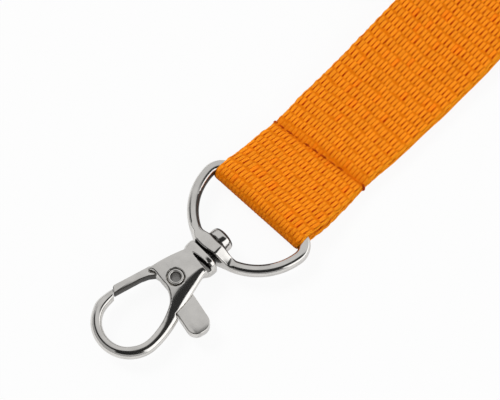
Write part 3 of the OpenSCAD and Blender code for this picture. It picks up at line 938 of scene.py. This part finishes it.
class LANYARD_OT_tie_band(bpy.types.Operator):
    """Moulds the ribbed band that holds the folded neck loop"""

    bl_idname = "lanyard.tie_band"
    bl_label = "Tie band"

    def execute(self, context):
        low, high = TIE_LOW / MM, TIE_HIGH / MM
        middle = (low + high) / 2
        half_y, half_z = (high.y - low.y) / 2, (high.z - low.z) / 2
        profile = self.profile(high.x - low.x)
        way = self.way(half_y, half_z)
        rings = []
        for i, (y, z) in enumerate(way):
            before, after = way[i - 1], way[(i + 1) % len(way)]
            tangent = Vector((after[0] - before[0], after[1] - before[1])).normalized()
            inward = Vector((-tangent.y, tangent.x))
            rings.append([Vector((middle.x + x, middle.y + y + inward.x * d,
                                  middle.z + z + inward.y * d)) * MM for x, d in profile])
        band = loft("tie_band", rings + rings[:1], closed=True)
        settle(band, band_rubber(), "strap", "tie_band", "hank_tie", place=Matrix(), angle=40.0)
        return {"FINISHED"}

    def way(self, half_y, half_z):
        """The band's outer edge round the hank, in short steps."""
        corner, step = 1.2, 1.0
        outline = soft_outline([(half_y, half_z, corner), (-half_y, half_z, corner),
                                (-half_y, -half_z, corner), (half_y, -half_z, corner)], 8)
        points = []
        for p, q in zip(outline, outline[1:] + outline[:1]):
            parts = max(1, math.ceil(math.dist(p, q) / step))
            points += [(p[0] + (q[0] - p[0]) * k / parts, p[1] + (q[1] - p[1]) * k / parts)
                       for k in range(parts) if math.dist(p, q) > 1e-6]
        return points

    def profile(self, width):
        """The band's section: place across, and depth from its ribbed outside."""
        thick, ribs, per_rib, rib_depth = 0.6, 5, 6, 0.09
        margin, chamfer, inner_chamfer = 0.2, 0.12, 0.15
        points = [(-width / 2, chamfer)]
        for k in range(ribs * per_rib + 1):
            x = -width / 2 + margin + (width - 2 * margin) * k / (ribs * per_rib)
            points.append((x, rib_depth * (1 - abs(math.cos(math.pi * k / per_rib)) ** 0.6)))
        return points + [(width / 2, chamfer), (width / 2, thick - chamfer),
                         (width / 2 - inner_chamfer, thick), (-width / 2 + inner_chamfer, thick),
                         (-width / 2, thick - chamfer)]


# Ring and swivel

BOW_CENTRE = Vector((-2.2, -0.35))


class LANYARD_OT_d_ring(bpy.types.Operator):
    """Bends the D ring's wire and swells it into the swivel boss"""

    bl_idname = "lanyard.d_ring"
    bl_label = "D ring"

    def execute(self, context):
        metal = context.scene.lanyard_metal
        wire, half_height, flattened, boss_from = metal.wire / MM / 2, 1.1, 0.2, -8.0
        rings = []
        for x, y, turn, in_loop in self.path(metal.bow_radius / MM, metal.ring_corner / MM):
            out = Vector((math.cos(turn), math.sin(turn), 0))
            rise, inner, outer, square = self.boss(y) if x < boss_from else (0.0, 0.0, 0.0, 0.0)
            width = 2 * wire + inner + outer
            height = 2 * (half_height * (1 - flattened * in_loop) + rise)
            middle = Vector((x, y, 0)) + out * ((outer - inner) / 2)
            rings.append([(middle + out * p + Vector((0, 0, q))) * MM
                          for p, q in oval(width, height, 2.5 + 4.5 * square, 40)])
        ring = loft("d_ring_bent", rings + rings[:1], closed=True)
        # Painted shade on the boss's bearing face, and a painted dark reflection on the wire's inner side
        paint_shade(ring, self.darkened, "POINT")
        settle(ring, nickel(context.scene), "ring", "nickel", "d_ring", angle=40.0)
        return {"FINISHED"}

    def boss(self, y):
        """How the boss swells upwards, inwards and outwards along the bow, and how square it is there."""
        rise = 1.6 * smooth_step(5.6, 1.4, y) * self.shoulder(y)
        inner = 0.62 * smooth_step(3.6, 1.0, y) * smooth_step(-5.0, -2.2, y)
        outer = 0.30 * smooth_step(3.9, 2.2, y) - 0.62 * smooth_step(2.2, -2.4, y)
        square = smooth_step(4.6, 1.6, y) * smooth_step(-5.2, -4.2, y)
        return rise, inner, outer * smooth_step(-5.6, -3.2, y), square

    def shoulder(self, y):
        """Share of the boss's height on its sloped side: an even slope with a rounded top and foot."""
        top, foot, soft = -1.55, -4.55, 0.4
        run = top - foot
        down = min(run, max(0.0, top - y))
        if down < soft:
            drop = down * down / (2 * soft)
        elif down < run - soft:
            drop = down - soft / 2
        else:
            drop = run - soft - (run - down) ** 2 / (2 * soft)
        return 1 - drop / (run - soft)

    def darkened(self, at, normal):
        """The boss's bearing face, in painted shade, and the ring's inner wall, painted dark in place of the
        webbing's orange reflection.
        """
        bearing = at.x < -13 and -2.3 < at.y < 2.4 and normal.x < -0.55
        inward = (BOW_CENTRE - at.xy).normalized()
        steep = 0.35 + 0.42 * smooth_step(-8.5, -6.0, at.x)
        return bearing or normal.x * inward.x + normal.y * inward.y > steep

    def path(self, radius, corner):
        """Places on the wire's middle line, its outward turn, and 1 inside the webbing's loop."""
        reach = math.sqrt((radius - corner) ** 2 - (BOW_CENTRE.x + corner) ** 2)
        meet = math.atan2(reach, -corner - BOW_CENTRE.x)
        bow_parts, corner_parts, bar_parts = 240, 24, 12
        stations = []
        for k in range(bow_parts):
            a = meet + 2 * (math.pi - meet) * k / bow_parts
            stations.append((BOW_CENTRE.x + radius * math.cos(a),
                             BOW_CENTRE.y + radius * math.sin(a), a, 0.0))
        low, high = BOW_CENTRE.y - reach, BOW_CENTRE.y + reach
        for k in range(corner_parts):
            a = -meet + meet * k / corner_parts
            stations.append((-corner + corner * math.cos(a), low + corner * math.sin(a), a,
                             smooth_step(0.0, 0.7, k / corner_parts)))
        stations += [(0.0, low + 2 * reach * k / bar_parts, 0.0, 1.0) for k in range(bar_parts)]
        for k in range(corner_parts):
            a = meet * k / corner_parts
            stations.append((-corner + corner * math.cos(a), high + corner * math.sin(a), a,
                             smooth_step(1.0, 0.3, k / corner_parts)))
        return stations


class LANYARD_OT_swivel_rivet(bpy.types.Operator):
    """Heads the swivel rivet inside the ring"""

    bl_idname = "lanyard.swivel_rivet"
    bl_label = "Swivel rivet"

    def execute(self, context):
        shank = [(1.28, -17.4), (1.28, -11.36)]
        head = [(2.05, -11.36), (2.16, -11.26), (2.2, -11.1), (2.2, -10.3), (2.15, -9.98), (2.03, -9.75),
                (1.84, -9.58), (1.5, -9.44), (1.0, -9.34), (0.5, -9.3)]
        rivet = turned("swivel_rivet_headed", metres(shank + head))
        # Painted shade on the head's domed face
        paint_shade(rivet, lambda at, normal: normal.z > 0.45)
        settle(rivet, nickel(context.scene), "hook", "nickel", "swivel_rivet",
               place=ON_RING @ Matrix.Rotation(math.pi / 2, 4, "Y"), angle=38.0)
        return {"FINISHED"}


# Hook

PIVOT = ON_RING.inverted() @ Vector(JOINTS["gate_pivot"]["pos_m"]) / MM
HEAD = Vector((-31.6, -0.35))
NOSE = Vector((-30.0, 5.45))
NOSE_TURN = math.radians(54.0)
BORE_R = 1.2


def hook_thickness(x):
    """Half thickness of the hook along its length."""
    return 2.65 - 1.5 * smooth_step(-18.0, -29.8, x)


def hook_outline():
    """The hook's outer edge: x, y, width of its rounding, share of its height that is rounded, and draft."""
    knots = [(-15.7, 2.2, 0.1, 0.2, 0.0), (-16.5, 2.3, 0.3, 0.2, 0.03), (-17.6, 2.68, 0.35, 0.2, 0.05),
             (-20.4, 3.53, 0.35, 0.2, 0.05), (-23.4, 4.3, 0.5, 0.35, 0.05), (-27.0, 5.45, 1.0, 0.9, 0.0)]
    for degrees in range(96, 281, 23):
        a = math.radians(degrees)
        depth = 1.1 + 0.2 * smooth_step(190.0, 280.0, degrees)
        knots.append((HEAD.x + 6.48 * math.cos(a), HEAD.y + 6.58 * math.sin(a), depth, 0.97, 0.0))
    return knots + [(-27.6, -6.35, 1.6, 0.95, 0.1), (-25.0, -5.6, 2.8, 0.90, 0.3),
                    (-22.4, -4.75, 3.0, 0.66, 0.3), (-19.8, -4.0, 2.6, 0.46, 0.3),
                    (-17.4, -3.35, 1.6, 0.38, 0.3), (-15.7, -2.85, 0.1, 0.2, 0.0)]


def eye_outline():
    """The eye's edge, round at the head and drawn in towards the pivot."""
    knots = [(-23.2, 3.6), (-23.15, 1.4), (-23.5, -0.8), (-24.6, -2.55), (-26.4, -3.65), (-28.6, -4.4)]
    for degrees in range(272, 89, -26):
        a = math.radians(degrees)
        knots.append((HEAD.x + 4.55 * math.cos(a), HEAD.y + (4.5 if degrees > 180 else 4.62) * math.sin(a)))
    return knots + [(-29.0, 4.3), (-25.5, 3.75)]


def offset_rings(outline, levels):
    """Rings of a closed outline, moved inwards and lifted by levels that each point works out."""
    rings = []
    for level in levels:
        ring = []
        for i, point in enumerate(outline):
            along = Vector(outline[(i + 1) % len(outline)][:2]) - Vector(outline[i - 1][:2])
            inward = Vector((-along.y, along.x)).normalized()
            depth, height = level(*point)
            x, y = point[0] + inward.x * depth, point[1] + inward.y * depth
            ring.append((x * MM, y * MM, height * hook_thickness(x) * MM))
        rings.append(ring)
    return rings


def at_pivot(piece):
    piece.data.transform(Matrix.Translation((PIVOT.x * MM, PIVOT.y * MM, 0)))
    return piece


class LANYARD_OT_hook_body(bpy.types.Operator):
    """Casts the hook's body, round arm and collar"""

    bl_idname = "lanyard.hook_body"
    bl_label = "Hook body"

    def execute(self, context):
        metal = context.scene.lanyard_metal
        body = self.blank()
        combine(body, self.collar(), "UNION")
        cutters = (self.groove(1), self.groove(-1), self.eye(), self.gate_space(), self.slot(), self.hole())
        for cutter in cutters:
            combine(body, cutter, "DIFFERENCE")
        apply(body, "REMESH", mode="VOXEL", voxel_size=0.7 * metal.edge)
        apply(body, "SMOOTH", factor=0.5, iterations=12)
        # Painted shade in the neck groove, in the slot and on the bearing face
        paint_shade(body, self.in_shade, "POINT")
        settle(body, nickel(context.scene), "hook", "nickel", "hook_body", angle=180.0)
        return {"FINISHED"}

    def blank(self):
        """The hook's solid form, with its flat faces cut in strips that follow the taper."""
        levels = []
        for up in (-1, 1):
            for degrees in (0, 5, 12, 20, 28, 36, 45, 55, 66, 78, 90)[::-up]:
                c, s = math.cos(math.radians(degrees)), math.sin(math.radians(degrees))
                levels.append(lambda *knot, up=up, c=c, s=s: self.flank(*knot, up, c, s))
        body = loft("hook_cast", offset_rings(smooth_loop(hook_outline(), 260), levels))
        edit(body)
        cuts = [((-17.5 - k, 0, 0), (1, 0, 0)) for k in range(14)]
        cuts += [((0, y, 0), (0, 1, 0)) for y in (-2.1, 1.3)]
        for place, across in cuts:
            bpy.ops.mesh.select_all(action="SELECT")
            bpy.ops.mesh.bisect(plane_co=metres([place])[0], plane_no=across)
        bpy.ops.object.mode_set(mode="OBJECT")
        return body

    def flank(self, x, y, depth, share, draft, up, c, s):
        """Inset and height of a flank point: rounded rims above and below, and a wall drawn in downwards."""
        wall = 1 - share
        inset = draft * wall * hook_thickness(x) * (1 - up)
        return depth * (1 - s) + inset, up * (wall + share * c)

    def collar(self):
        """The thick end that bears on the ring's boss, squarer on the gate's side."""
        width, height, beside, count = 6.4, 5.36, -0.3, 48
        rings = []
        for x, shrink in ((-17.4, 1.0), (-16.7, 0.4), (-16.1, 0.06), (-15.6, 0.01), (-15.2, 0.0),
                          (-14.66, 0.0), (-14.52, 0.08), (-14.44, 0.26)):
            size = width - 2 * shrink, height - 2 * shrink
            section = [square if square[0] > 0 else rounded
                       for square, rounded in zip(oval(*size, 6.0, count), oval(*size, 2.8, count))]
            rings.append(metres([(x, p + beside, q) for p, q in section]))
        return loft("collar", rings)

    def groove(self, up):
        """A wedge that cuts the neck free on the thumb tab's side."""
        outline = [(-16.15, 1.5), (-16.3, -0.1), (-16.45, -1.2), (-16.55, -2.4), (-16.6, -6.0),
                   (-15.55, -6.0), (-15.6, -2.3), (-15.68, -1.3), (-15.85, 0.0)]
        wedge = plate("groove", metres(outline), 1.2 * MM, 4 * MM)
        if up < 0:
            wedge.data.transform(Matrix.Rotation(math.pi, 4, "X") @ Matrix.Scale(-1, 4, (0, 1, 0)))
            wedge.data.flip_normals()
        return wedge

    def eye(self):
        """The tool that cuts the eye and rounds its rims."""
        share, undercut = 0.92, 0.45
        upper = (0.3, 0.5, 0.65, 0.8, 0.9, 0.97, 1.0, 1.4)
        levels = []
        for height in [-level for level in upper[::-1]] + list(upper):
            lift = min(1.0, max(0.0, (abs(height) - (1 - share)) / share))
            flare = 1 - math.sqrt(max(0.0, 1 - lift * lift))
            under = undercut if height < 0 else 0.0
            levels.append(lambda x, y, flare=flare, under=under, height=height:
                          (-flare * self.rim(x, y) - under * smooth_step(-26.0, -23.6, x), height))
        return loft("eye", offset_rings(smooth_loop(eye_outline(), 140)[::-1], levels))

    def rim(self, x, y):
        """Width of the eye's rounded rim: full on the head's far side, narrow below and along the body."""
        if y > 0:
            return 0.7 - 0.55 * smooth_step(-29.5, -26.5, x)
        return (0.7 - 0.3 * smooth_step(-2.5, -4.2, y)) * (1.0 - 0.6 * smooth_step(-29.5, -25.0, x))

    def gate_space(self):
        """The opening between the nose and the body, which the gate bar closes."""
        along = Vector((math.cos(NOSE_TURN), math.sin(NOSE_TURN)))
        inside, outside = NOSE - along * 2.2, NOSE + along * 12
        outline = [tuple(inside), (-26.0, 0.0), (-23.3, 0.6), (-23.3, 14.0), tuple(outside)]
        return plate("gate_space", metres(outline), -4 * MM, 4 * MM)

    def slot(self):
        """The slot between the cheeks, where the lever turns."""
        outline = [(-26.1, -9.0), (-18.1, -9.0), (-18.1, 9.0), (-26.5, 9.0), (-26.5, 0.0), (-24.7, -1.6)]
        return plate("slot", metres(outline), -1.1 * MM, 1.1 * MM)

    def hole(self):
        """The pivot's hole, wider at both faces for the rivet's rolled ends."""
        wide, face = 1.5, hook_thickness(PIVOT.x)
        half = [(BORE_R, face - 0.5), (wide, face - 0.4), (wide, 4)]
        return at_pivot(turned("rivet_hole", metres([(r, -z) for r, z in half[::-1]] + half)))

    def in_shade(self, at, normal):
        """Walls of the neck groove, the bearing face and the slot, which carry painted shade."""
        bearing = at.x > -14.6 and normal.x > 0.8
        in_groove = -17.0 < at.x < -15.2 and at.y < 1.7
        wall = in_groove and at.y > -3.0 and 1.15 < abs(at.z) < 2.45 and abs(normal.z) < 0.9
        floor = in_groove and abs(abs(at.z) - 1.2) < 0.1 and abs(normal.z) > 0.7
        slot = abs(at.z) < 1.15 and -21.8 < at.x < -18.0 and (abs(normal.z) > 0.9 or at.x > -18.3)
        return max(bearing, wall, slot, 0.6 * floor)


class LANYARD_OT_gate_lever(bpy.types.Operator):
    """Forms the gate bar, its hub and the thumb tab"""

    bl_idname = "lanyard.gate_lever"
    bl_label = "Gate lever"

    def execute(self, context):
        bar = [(-29.46, 6.15, 0.5), (-30.30, 4.95, 0.15), (-25.3, 3.80, 2.0), (-23.9, 3.25, 0.9),
               (-23.0, 2.6, 0.4), (PIVOT.x - 1.2, PIVOT.y, 0.2), (PIVOT.x + 1.2, PIVOT.y, 0.2),
               (-22.5, 4.5, 0.7)]
        hub = [(1.8, -0.94), (1.8, 0.94)]
        bore = [(BORE_R, -2), (BORE_R, 2)]
        lever = self.part("gate_lever_formed", bar, 0.2, 4)
        combine(lever, self.part("tab", self.tab(), 0.22, 3), "UNION")
        combine(lever, at_pivot(turned("hub", metres(hub))), "UNION")
        combine(lever, at_pivot(turned("bore", metres(bore))), "DIFFERENCE")
        apply(lever, "WEIGHTED_NORMAL", keep_sharp=True)
        # Painted dark reflection on the gate bar's inner wall and end
        paint_shade(lever, self.in_shade)
        settle(lever, nickel(context.scene), "gate", "nickel", "gate_lever", angle=40.0)
        return {"FINISHED"}

    def tab(self):
        """The thumb tab's corners, leaning out from the pivot."""
        lean = math.radians(11.0)
        corners = ((-1.3, -0.8, 0.2), (-3.08, -3.3, 0.6), (-3.08, -10.28, 1.7), (1.12, -10.28, 1.9),
                   (1.12, -0.8, 0.2))
        return [(PIVOT.x + x * math.cos(lean) + y * math.sin(lean),
                 PIVOT.y + y * math.cos(lean) - x * math.sin(lean), radius) for x, y, radius in corners]

    def part(self, name, corners, edge, segments):
        """A flat part of the lever, with its rims rounded."""
        half_thick = 0.95 * MM
        return plate(name, metres(soft_outline(corners, 6)), -half_thick, half_thick, edge * MM, segments)

    def in_shade(self, at, normal):
        """The gate bar's wall towards the eye and its end, which carry a painted dark reflection of the
        shaded table below.
        """
        return at.y > 2.5 and (normal.y < -0.15 or at.x < -29 and normal.x < -0.6)


class LANYARD_OT_pivot_rivet(bpy.types.Operator):
    """Rolls the ends of the tubular pivot rivet"""

    bl_idname = "lanyard.pivot_rivet"
    bl_label = "Pivot rivet"

    def execute(self, context):
        face = hook_thickness(PIVOT.x)
        lip = [(1.15, -0.6), (1.22, -0.3), (1.34, -0.05), (1.36, 0.06), (1.33, 0.17), (1.26, 0.24),
               (1.16, 0.27), (1.04, 0.25), (0.95, 0.18), (0.89, 0.06), (0.86, -0.1), (0.84, -0.5)]
        profile = [(r, face + z) for r, z in lip] + [(r, -face - z) for r, z in lip[::-1]]
        rivet = at_pivot(turned("pivot_rivet_rolled", metres(profile), closed=True))
        # Painted shade inside the rivet's bore
        paint_shade(rivet, lambda at, normal: 0.6 * (math.dist(at[:2], PIVOT[:2]) < 0.88))
        settle(rivet, nickel(context.scene), "hook", "nickel", "pivot_rivet", angle=60.0)
        return {"FINISHED"}


class LANYARD_OT_gate_spring(bpy.types.Operator):
    """Winds the small spring that closes the gate"""

    bl_idname = "lanyard.gate_spring"
    bl_label = "Gate spring"

    def execute(self, context):
        metal = context.scene.lanyard_metal
        steel = bright_metal("Spring steel", metal.spring, 0.28, metal.shaded)
        low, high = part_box("gate_spring")
        middle = (low + high) / 2
        radius, wire, turns, per_turn = 0.55 * MM, 0.13 * MM, 2, 28
        reach, count = high.x - low.x - 2 * wire, per_turn * turns
        rings = []
        for k in range(count + 1):
            a = 2 * math.pi * turns * k / count
            out = Vector((0, math.cos(a), math.sin(a)))
            spot = Vector((low.x + wire + reach * k / count, middle.y, middle.z)) + out * radius
            rings.append(wire_ring(spot, out, wire, 12))
        settle(loft("gate_spring_coil", rings), steel, "hook", "spring_steel", "gate_spring",
               place=Matrix(), angle=60.0)
        return {"FINISHED"}


# Stage

class LANYARD_OT_stage(bpy.types.Operator):
    """Sets the white table, the soft light and the camera"""

    bl_idname = "lanyard.stage"
    bl_label = "Stage"

    def execute(self, context):
        scene = context.scene
        stage = scene.lanyard_stage
        scene.view_settings.view_transform = "Standard"
        bpy.ops.object.select_all(action="DESELECT")
        bpy.ops.mesh.primitive_plane_add(size=6.0)
        table = context.active_object
        table.name = "table"
        table.data.materials.append(self.white_table(stage))
        self.surroundings(scene)
        self.lamp(scene, "key", stage.key, 24.0, (0.05, -0.66, -0.75))
        self.lamp(scene, "fill", stage.fill, 60.0, (0.30, 0.75, -0.60))
        self.camera(scene, stage)
        return {"FINISHED"}

    def camera(self, scene, stage):
        camera = bpy.data.objects.new("camera", bpy.data.cameras.new("camera"))
        back = Vector((-math.cos(stage.heading) * math.cos(stage.elevation),
                       -math.sin(stage.heading) * math.cos(stage.elevation), math.sin(stage.elevation)))
        camera.data.lens, camera.data.sensor_width = stage.lens, 36.0
        camera.data.clip_start, camera.data.clip_end = 0.01, 20.0
        camera.location = Vector(stage.aim) + back * stage.distance
        camera.rotation_mode = "QUATERNION"
        camera.rotation_quaternion = (-back).to_track_quat("-Z", "Y")
        scene.collection.objects.link(camera)
        scene.camera = camera

    def lamp(self, scene, name, energy, spread, way):
        """A soft lamp that lights the webbing, and that the metal doesn't mirror."""
        light = bpy.data.lights.new(name, "SUN")
        light.energy, light.angle = energy, math.radians(spread)
        holder = bpy.data.objects.new(name, light)
        holder.rotation_mode = "QUATERNION"
        holder.rotation_quaternion = Vector(way).to_track_quat("-Z", "Y")
        holder.visible_glossy = False
        scene.collection.objects.link(holder)

    def white_table(self, stage):
        """A pale table that keeps a faint shadow, white for the camera and grey in the metal."""
        seen_share, mirrored_share = 0.93, 0.45
        made = bpy.data.materials.new("White table")
        made.use_nodes = True
        tree = made.node_tree
        tree.nodes.clear()
        path = add(tree, "ShaderNodeLightPath").outputs
        mirrored = calc(tree, "MAXIMUM", path["Is Glossy Ray"], path["Is Transmission Ray"])
        share = calc(tree, "MAXIMUM", times(tree, path["Is Camera Ray"], seen_share),
                     times(tree, mirrored, mirrored_share))
        paper = add(tree, "ShaderNodeBsdfDiffuse", {"Color": tuple(stage.table)}).outputs[0]
        glow = add(tree, "ShaderNodeEmission", {"Color": (1, 1, 1, 1), "Strength": 1.0}).outputs[0]
        mixed = add(tree, "ShaderNodeMixShader", {0: share, 1: paper, 2: glow}).outputs[0]
        add(tree, "ShaderNodeOutputMaterial", {"Surface": mixed})
        return made

    def surroundings(self, scene):
        """The studio that lights the object and that the metal mirrors, and plain white for the camera."""
        world = bpy.data.worlds.new("studio")
        world.use_nodes = True
        scene.world = world
        tree = world.node_tree
        tree.nodes.clear()
        way = add(tree, "ShaderNodeTexCoord").outputs["Generated"]
        room = grey(tree, self.room(tree, way))
        lit = add(tree, "ShaderNodeBackground", {"Color": room, "Strength": 1.0}).outputs[0]
        white = add(tree, "ShaderNodeBackground", {"Color": (1, 1, 1, 1), "Strength": 1.0}).outputs[0]
        seen = add(tree, "ShaderNodeLightPath").outputs["Is Camera Ray"]
        mixed = add(tree, "ShaderNodeMixShader", {0: seen, 1: lit, 2: white}).outputs[0]
        add(tree, "ShaderNodeOutputWorld", {"Surface": mixed})

    def room(self, tree, way):
        """Brightness of the studio in each direction."""
        def towards(*point):
            return add(tree, "ShaderNodeVectorMath", {0: way, 1: point}, operation="DOT_PRODUCT").outputs[1]

        def without(mask):
            return calc(tree, "SUBTRACT", 1.0, mask)

        lengthwise, tab_side, upwards = towards(1, 0, 0), towards(0, -1, 0), towards(0, 0, 1)
        over = towards(0.28, 0.27, 0.92)
        # Grey walls, paler towards the webbing
        level = ramp(tree, lengthwise, -0.7, 0.2, 0.44, 0.66)
        # A white lamp low on the thumb tab's side, but not towards the hook's front end
        front = times(tree, ramp(tree, lengthwise, -0.3, -0.05, 1.0, 0.0), ramp(tree, tab_side, 0.0, 0.2))
        above_lamp = calc(tree, "SUBTRACT", over, ramp(tree, front, 0.0, 1.0, 0.54, 0.12))
        lamp = times(tree, ramp(tree, above_lamp, -0.02, 0.02, 1.0, 0.0), ramp(tree, tab_side, 0.05, 0.35),
                     ramp(tree, front, 0.0, 1.0, 1.0, 0.0))
        level = calc(tree, "ADD", times(tree, level, without(lamp)), times(tree, lamp, 1.35))
        # A dark band between the lamp and the pale overhead light, on the camera's side, and a dark horizon
        near = towards(-0.8, -0.45, 0)
        below_top = calc(tree, "SUBTRACT", over, ramp(tree, tab_side, -0.2, -0.05, 0.88, 0.97))
        band = times(tree, ramp(tree, above_lamp, 0.0, 0.04), ramp(tree, below_top, -0.04, 0.03, 1.0, 0.0),
                     ramp(tree, near, -0.38, -0.2))
        horizon = ramp(tree, upwards, 0.05, 0.11, 1.0, 0.0)
        dark = times(tree, calc(tree, "MAXIMUM", band, horizon), 0.95)
        return times(tree, level, without(dark))


# Panel and registration

STEPS = (
    LANYARD_OT_stage, LANYARD_OT_webbing, LANYARD_OT_ring_seam, LANYARD_OT_tie_band,
    LANYARD_OT_d_ring, LANYARD_OT_swivel_rivet, LANYARD_OT_hook_body, LANYARD_OT_gate_lever,
    LANYARD_OT_pivot_rivet, LANYARD_OT_gate_spring,
)


class LANYARD_PT_parts(bpy.types.Panel):
    """Lists the steps that make the lanyard"""

    bl_idname = "LANYARD_PT_parts"
    bl_label = "Neck Lanyard"
    bl_space_type = "VIEW_3D"
    bl_region_type = "UI"
    bl_category = "Lanyard"

    def draw(self, context):
        for step in STEPS:
            self.layout.operator(step.bl_idname)
        for group in ("lanyard_webbing", "lanyard_metal", "lanyard_stage"):
            settings = getattr(context.scene, group)
            box = self.layout.box()
            for key in settings.__annotations__:
                box.prop(settings, key)


CLASSES = (LanyardWebbing, LanyardMetal, LanyardStage, *STEPS, LANYARD_PT_parts)


def register():
    for made in CLASSES:
        bpy.utils.register_class(made)
    bpy.types.Scene.lanyard_webbing = bpy.props.PointerProperty(type=LanyardWebbing)
    bpy.types.Scene.lanyard_metal = bpy.props.PointerProperty(type=LanyardMetal)
    bpy.types.Scene.lanyard_stage = bpy.props.PointerProperty(type=LanyardStage)


def unregister():
    del bpy.types.Scene.lanyard_stage
    del bpy.types.Scene.lanyard_metal
    del bpy.types.Scene.lanyard_webbing
    for made in reversed(CLASSES):
        bpy.utils.unregister_class(made)


def main():
    register()
    bpy.ops.lanyard.stage()
    bpy.ops.lanyard.webbing()
    bpy.ops.lanyard.ring_seam()
    bpy.ops.lanyard.tie_band()
    bpy.ops.lanyard.d_ring()
    bpy.ops.lanyard.swivel_rivet()
    bpy.ops.lanyard.hook_body()
    bpy.ops.lanyard.gate_lever()
    bpy.ops.lanyard.pivot_rivet()
    bpy.ops.lanyard.gate_spring()


if __name__ == "__main__":
    main()
